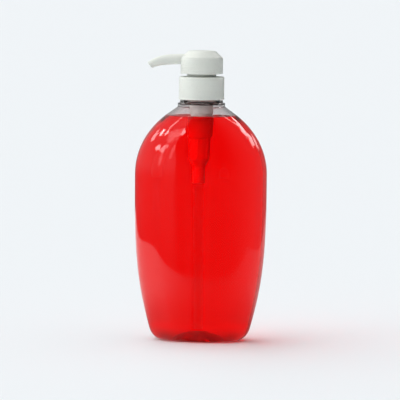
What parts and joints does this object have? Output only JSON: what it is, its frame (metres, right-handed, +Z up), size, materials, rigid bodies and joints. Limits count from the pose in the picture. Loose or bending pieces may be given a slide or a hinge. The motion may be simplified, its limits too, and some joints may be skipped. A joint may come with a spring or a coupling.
{
  "type": "pump bottle",
  "caption": "Clear oval bottle of red liquid soap with a white lock-down lotion pump: screw closure, curved spout and a full pump inside.",
  "frame": {"origin": "on the bottle's axis, in the plane of the ring that it stands on", "axes": "+Z up the bottle to the pump head, X across the wide front of the bottle, Y through its narrow depth with the front at -Y"},
  "size_m": [0.1112, 0.0776, 0.2442],
  "materials": {
    "clear_pet": "clear glossy blown PET",
    "red_soap": "clear red liquid",
    "soft_pe": "soft moulded polyethylene",
    "natural_pp": "natural polypropylene, slightly cloudy",
    "glass_bead": "ground glass bead",
    "tube_pe": "extruded natural polyethylene",
    "spring_steel": "bright drawn stainless wire",
    "white_pp": "white polypropylene, satin gloss"
  },
  "bodies": {
    "bottle": {"bottle": "clear_pet", "liquid": "red_soap"},
    "seal": {"gasket": "soft_pe"},
    "pump": {"pump_housing": "natural_pp", "lock_ring": "white_pp", "ball_cage": "natural_pp", "dip_tube": "tube_pe", "spring": "spring_steel"},
    "closure": {"closure": "white_pp"},
    "rod": {"valve_rod": "natural_pp"},
    "piston": {"piston": "soft_pe"},
    "head": {"head": "white_pp", "stem": "natural_pp"},
    "ball": {"inlet_ball": "glass_bead"}
  },
  "joints": [
    {"name": "pump_lift_out", "type": "slide", "parent": "bottle", "child": "seal", "axis": [0, 0, 1], "range_m": [0, 0.215]},
    {"name": "closure_rise", "type": "slide", "parent": "seal", "child": "pump", "axis": [0, 0, 1], "range_m": [0, 0.00636]},
    {"name": "closure_turn", "type": "hinge", "parent": "pump", "child": "closure", "pos_m": [0, 0, 0.2127], "axis": [0, 0, 1], "range_deg": [0, 540]},
    {"name": "pump_stroke", "type": "slide", "parent": "pump", "child": "rod", "axis": [0, 0, 1], "range_m": [0, 0.02], "deforming": ["spring"]},
    {"name": "head_turn", "type": "hinge", "parent": "rod", "child": "head", "pos_m": [0, 0, 0.234], "axis": [0, 0, 1], "continuous": true},
    {"name": "piston_slip", "type": "slide", "parent": "rod", "child": "piston", "axis": [0, 0, 1], "range_m": [0, 0.0012]},
    {"name": "inlet_ball_lift", "type": "slide", "parent": "pump", "child": "ball", "axis": [0, 0, 1], "range_m": [0, 0.0016]}
  ],
  "couplings": [
    {"joint": "closure_rise", "follows": "closure_turn", "m_per_rad": 0.00067375}
  ]
}
